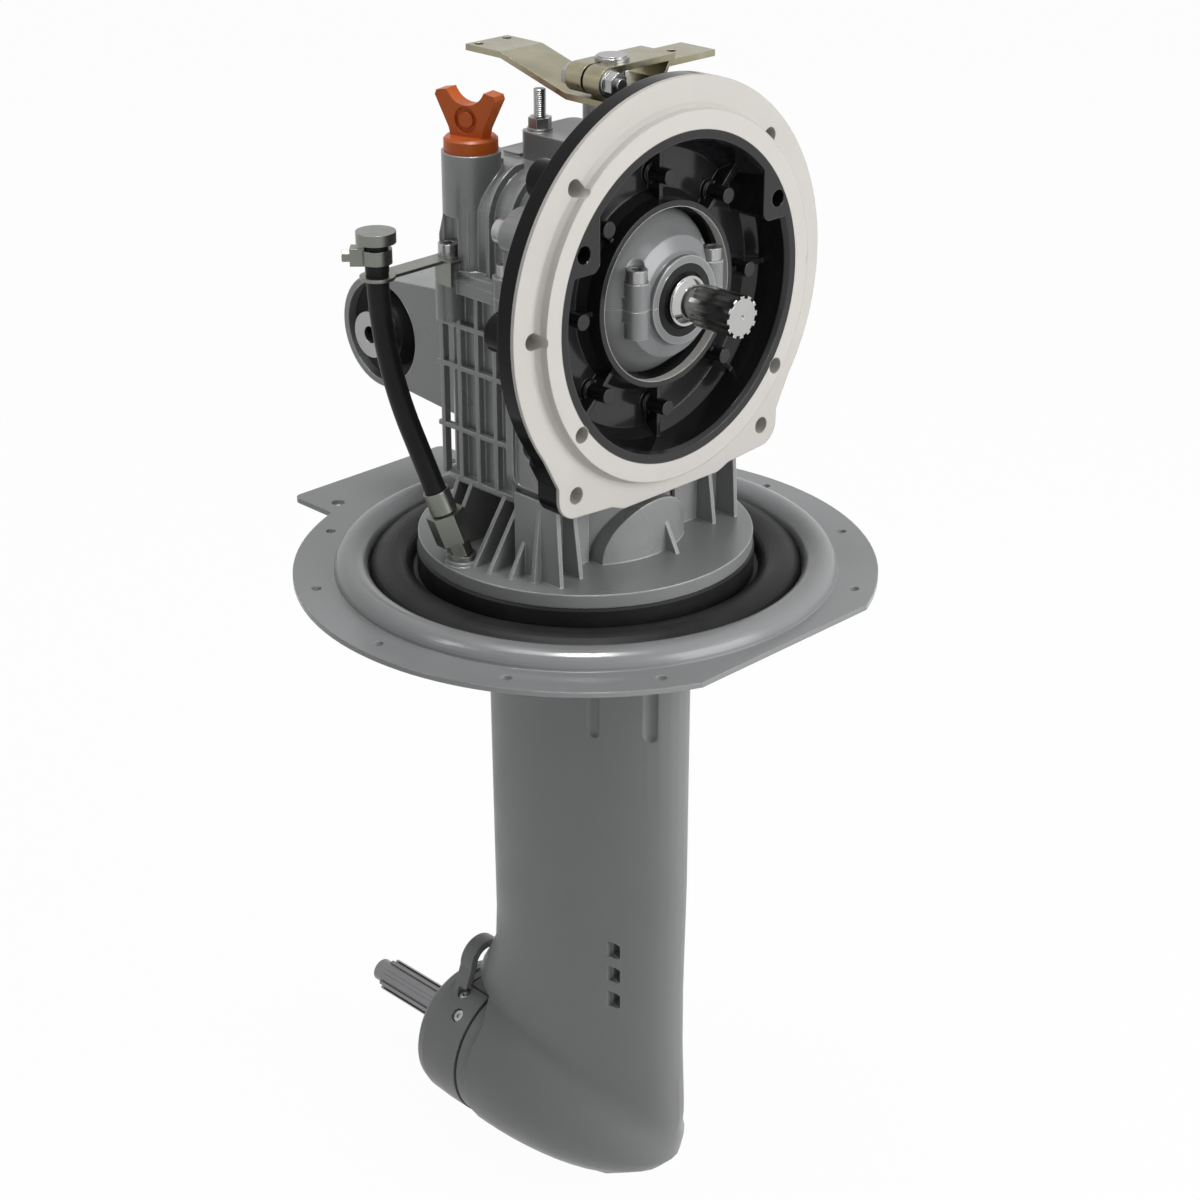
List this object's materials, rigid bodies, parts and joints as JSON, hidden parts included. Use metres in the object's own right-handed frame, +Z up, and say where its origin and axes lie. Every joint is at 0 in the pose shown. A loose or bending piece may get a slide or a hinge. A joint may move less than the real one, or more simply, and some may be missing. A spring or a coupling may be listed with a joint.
{
  "type": "saildrive",
  "caption": "Engine-driven gear leg that passes through a boat's hull to a propeller shaft, with bell housing, hull ring, shift lever, dipstick and oil hose.",
  "frame": {"origin": "on the vertical drive axis, at the top face of the hull ring", "axes": "+X forward along the engine shaft, +Z up, +Y to port; the propeller shaft points along -X"},
  "size_m": [0.4125, 0.389, 0.8336],
  "materials": {
    "cast_alloy": "satin grey cast",
    "ring_alloy": "smooth grey",
    "steel": "machined",
    "dark_steel": "oiled",
    "gloss_black": "gloss black with a machined front face",
    "rubber": "matt",
    "orange_plastic": "moulded",
    "zinc": "yellow zinc plated",
    "nickel": "nickel plated",
    "bronze": "bearing bronze"
  },
  "bodies": {
    "drive_unit": {"leg_housing": "cast_alloy", "propeller_collar": "cast_alloy", "collar_screws": "steel", "propeller_bearings": "steel", "propeller_seal": "rubber", "leg_bearings": "steel", "idler_bearings": "steel", "fork_guide": "steel", "input_bearing": "steel", "input_seal": "rubber", "main_housing": "cast_alloy", "top_cover": "cast_alloy", "cover_bolts": "steel", "nose_bolts": "steel", "bell_housing": "gloss_black", "bell_bolts": "steel", "leg_bolts": "steel", "hull_ring": "ring_alloy", "diaphragm": "rubber", "mount_bracket": "cast_alloy", "bracket_bolts": "steel", "mount_rubber": "rubber", "mount_sleeve": "steel", "top_stud": "steel", "top_nut": "steel", "oil_hose": "rubber", "hose_plug": "nickel", "hose_clamp": "nickel", "clamp_screw": "nickel", "hose_bracket": "nickel", "bracket_screw": "steel", "hose_ferrule": "nickel", "union_nut": "nickel", "drain_fitting": "nickel"},
    "input": {"input_shaft": "dark_steel", "input_gear": "steel"},
    "upper_gear": {"upper_idler_gear": "steel", "upper_gear_bush": "bronze"},
    "lower_gear": {"lower_idler_gear": "steel", "lower_gear_bush": "bronze"},
    "vertical_shaft": {"upper_shaft": "steel", "lower_shaft": "steel", "shaft_coupling": "dark_steel", "lower_pinion": "steel"},
    "clutch": {"clutch_sleeve": "bronze", "shift_rod": "dark_steel"},
    "propeller_drive": {"propeller_shaft": "dark_steel", "propeller_gear": "steel"},
    "lever": {"lever_arm": "zinc", "lever_clamp": "zinc", "clamp_bolt": "steel", "clamp_nut": "steel", "shift_shaft": "steel"},
    "fork": {"shift_fork": "bronze"},
    "dipstick": {"dipstick_cap": "orange_plastic", "dipstick_rod": "steel", "dipstick_seal": "rubber"}
  },
  "joints": [
    {"name": "input_spin", "type": "hinge", "parent": "drive_unit", "child": "input", "pos_m": [0, 0, 0.201], "axis": [1, 0, 0], "continuous": true},
    {"name": "upper_gear_spin", "type": "hinge", "parent": "drive_unit", "child": "upper_gear", "pos_m": [0, 0, 0.201], "axis": [0, 0, 1], "continuous": true},
    {"name": "lower_gear_spin", "type": "hinge", "parent": "drive_unit", "child": "lower_gear", "pos_m": [0, 0, 0.201], "axis": [0, 0, 1], "continuous": true},
    {"name": "shaft_spin", "type": "hinge", "parent": "drive_unit", "child": "vertical_shaft", "pos_m": [0, 0, 0], "axis": [0, 0, 1], "continuous": true},
    {"name": "propeller_spin", "type": "hinge", "parent": "drive_unit", "child": "propeller_drive", "pos_m": [0, 0, -0.436], "axis": [1, 0, 0], "continuous": true},
    {"name": "shift_lever", "type": "hinge", "parent": "drive_unit", "child": "lever", "pos_m": [0.024, 0, 0.3], "axis": [0, 0, 1], "range_deg": [-30, 30]},
    {"name": "fork_slide", "type": "slide", "parent": "drive_unit", "child": "fork", "axis": [0, 0, 1], "range_m": [-0.003, 0.003]},
    {"name": "clutch_slide", "type": "slide", "parent": "vertical_shaft", "child": "clutch", "axis": [0, 0, 1], "range_m": [-0.003, 0.003]},
    {"name": "dipstick_lift", "type": "slide", "parent": "drive_unit", "child": "dipstick", "axis": [0, 0, 1], "range_m": [0, 0.215]}
  ],
  "couplings": [
    {"joint": "upper_gear_spin", "follows": "input_spin", "ratio": -0.74074},
    {"joint": "lower_gear_spin", "follows": "input_spin", "ratio": 0.74074},
    {"joint": "propeller_spin", "follows": "shaft_spin", "ratio": 0.57143},
    {"joint": "fork_slide", "follows": "shift_lever", "m_per_rad": 0.0057296},
    {"joint": "clutch_slide", "follows": "shift_lever", "m_per_rad": 0.0057296}
  ]
}
